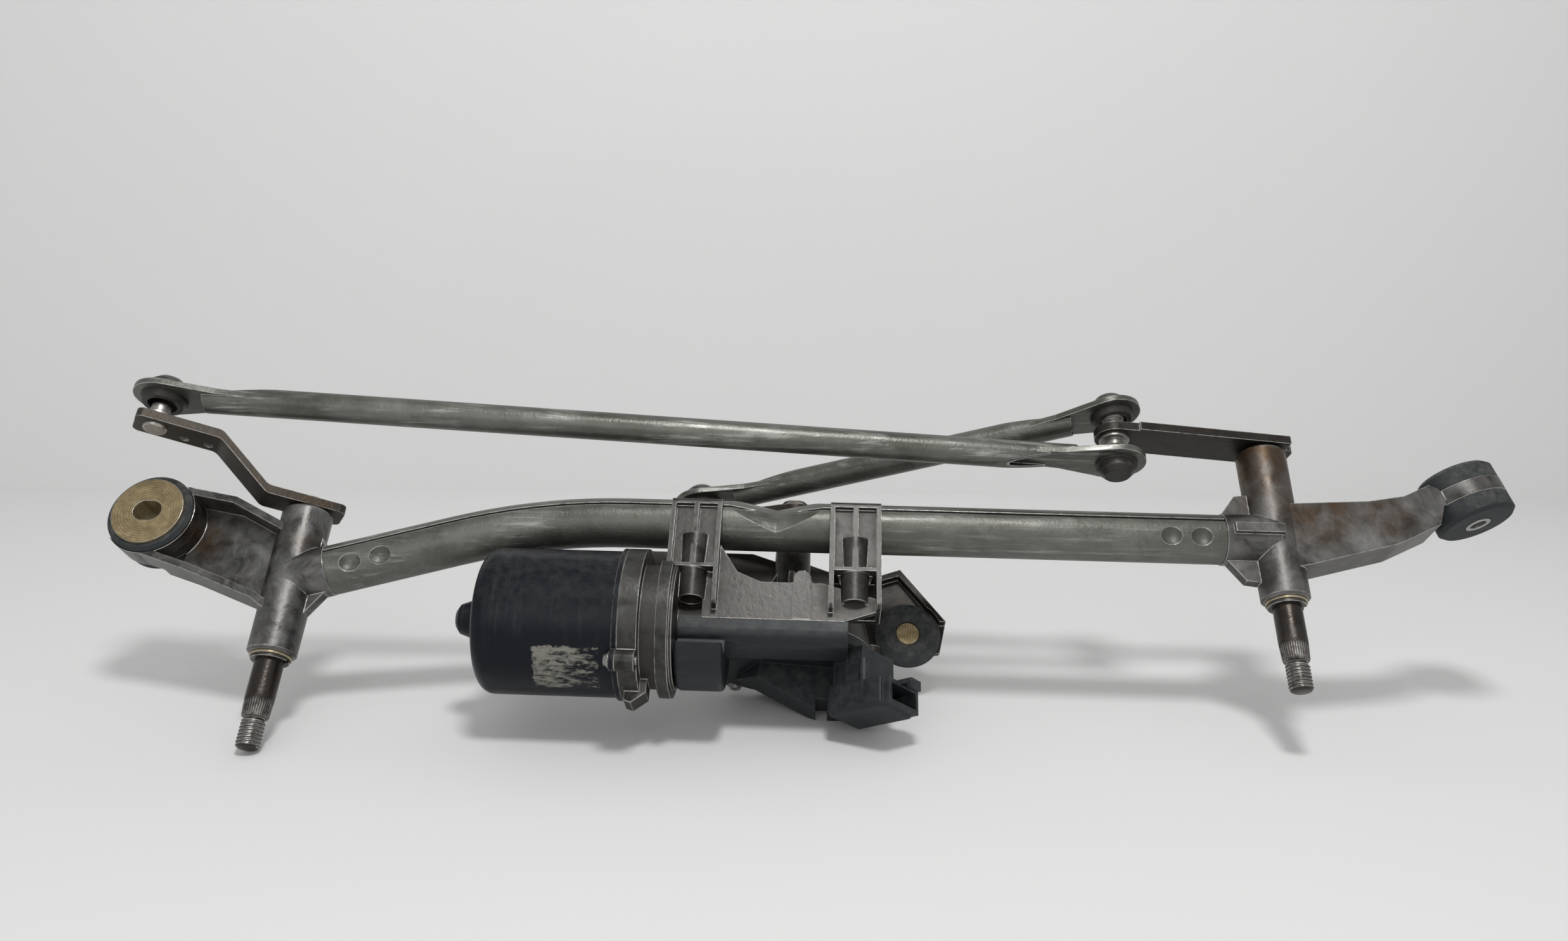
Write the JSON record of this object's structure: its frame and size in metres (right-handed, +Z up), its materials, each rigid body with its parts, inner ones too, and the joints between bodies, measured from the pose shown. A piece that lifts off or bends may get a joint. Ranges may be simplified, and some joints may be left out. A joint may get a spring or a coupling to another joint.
{
  "type": "windshield wiper motor with linkage",
  "caption": "Gear motor clamped to a tube frame, driving two wiper spindles through a crank, levers and ball-jointed rods, with rubber mounts.",
  "frame": {"origin": "on the floor under the middle of the lying assembly's box", "axes": "+X along the tube from the left spindle to the right one, +Z up as it lies on the floor, +Y away from the viewer of the picture"},
  "size_m": [0.6208, 0.1418, 0.1455],
  "materials": {
    "steel_tube": "weathered olive-grey coated tube",
    "casting": "die-cast, dull and stained",
    "gearcase": "die-cast, dull",
    "zinc_steel": "zinc plated, dulled",
    "dark_steel": "phosphated",
    "bright_steel": "ground",
    "can_paint": "black, satin",
    "rubber": "matte",
    "black_plastic": "moulded, fine grain",
    "socket_plastic": "moulded, satin",
    "wheel_plastic": "moulded, off-white",
    "bronze": "sintered",
    "brass_washer": "dulled",
    "copper": "enamelled wire and copper segments",
    "core_steel": "laminated",
    "magnet": "ferrite",
    "board": "insulating board",
    "carbon": "carbon"
  },
  "bodies": {
    "frame": {"frame_tube": "steel_tube", "left_pivot_housing": "casting", "right_pivot_housing": "casting", "left_spindle_bushes": "bronze", "right_spindle_bushes": "bronze", "left_thrust_washer": "brass_washer", "right_thrust_washer": "brass_washer", "left_grommet": "rubber", "left_grommet_sleeve": "zinc_steel", "right_grommet": "rubber", "right_grommet_sleeve": "zinc_steel", "gear_housing": "gearcase", "gear_cover": "black_plastic", "cover_screws": "zinc_steel", "connector_pins": "brass_washer", "contact_springs": "copper", "motor_can": "can_paint", "can_screws": "zinc_steel", "motor_magnets": "magnet", "can_bearing": "bronze", "worm_bearings": "bronze", "brush_plate": "board", "carbon_brushes": "carbon", "output_bushes": "bronze", "third_mount_bracket": "zinc_steel", "bracket_screws": "zinc_steel", "third_mount_rubber": "rubber", "third_mount_pin": "dark_steel"},
    "armature": {"motor_shaft": "bright_steel", "armature_core": "core_steel", "armature_windings": "copper", "commutator": "copper", "worm": "bright_steel"},
    "crank": {"output_shaft": "bright_steel", "output_thrust_washer": "brass_washer", "output_circlip": "dark_steel", "worm_wheel": "wheel_plastic", "contact_disc": "brass_washer", "crank_arm": "zinc_steel", "crank_nut": "zinc_steel", "crank_pin": "bright_steel"},
    "right_rocker": {"right_spindle": "zinc_steel", "right_circlip": "dark_steel", "right_lever": "zinc_steel", "right_double_ball_pin": "bright_steel"},
    "left_rocker": {"left_spindle": "zinc_steel", "left_circlip": "dark_steel", "left_lever": "zinc_steel", "left_pin": "bright_steel"},
    "long_rod_link": {"long_rod": "dark_steel", "long_rod_right_socket": "socket_plastic", "long_rod_left_socket": "socket_plastic"},
    "drive_rod_link": {"drive_rod": "dark_steel", "drive_rod_lever_socket": "socket_plastic", "drive_rod_crank_socket": "socket_plastic"}
  },
  "joints": [
    {"name": "armature_spin", "type": "hinge", "parent": "frame", "child": "armature", "pos_m": [-0.0073, -0.02851, 0.04706], "axis": [1, 0, -0.001], "range_deg": [0, 10154.18]},
    {"name": "crank_turn", "type": "hinge", "parent": "frame", "child": "crank", "pos_m": [-0.00727, 0.04345, 0.08027], "axis": [0.0007, 0.6614, 0.75], "range_deg": [-188.13, 0]},
    {"name": "right_lever_swing", "type": "hinge", "parent": "frame", "child": "right_rocker", "pos_m": [0.20477, 0.03353, 0.11721], "axis": [0.0007, 0.6614, 0.75], "range_deg": [0, 93.26]},
    {"name": "left_lever_swing", "type": "hinge", "parent": "frame", "child": "left_rocker", "pos_m": [-0.22527, 0.00443, 0.08462], "axis": [0.0007, 0.6614, 0.75], "range_deg": [0, 74.94]},
    {"name": "long_rod_turn", "type": "hinge", "parent": "right_rocker", "child": "long_rod_link", "pos_m": [0.13673, 0.0191, 0.11427], "axis": [0.0007, 0.6614, 0.75], "range_deg": [-97.16, 0]},
    {"name": "drive_rod_turn", "type": "hinge", "parent": "right_rocker", "child": "drive_rod_link", "pos_m": [0.13675, 0.03584, 0.13324], "axis": [0.0007, 0.6614, 0.75], "range_deg": [-101.3, 0]}
  ],
  "couplings": [
    {"joint": "crank_turn", "follows": "armature_spin", "ratio": -0.018519},
    {"joint": "right_lever_swing", "follows": "armature_spin", "ratio": 0.0091794},
    {"joint": "left_lever_swing", "follows": "armature_spin", "ratio": 0.0073762},
    {"joint": "long_rod_turn", "follows": "armature_spin", "ratio": -0.0095633},
    {"joint": "drive_rod_turn", "follows": "armature_spin", "ratio": -0.0099712}
  ]
}
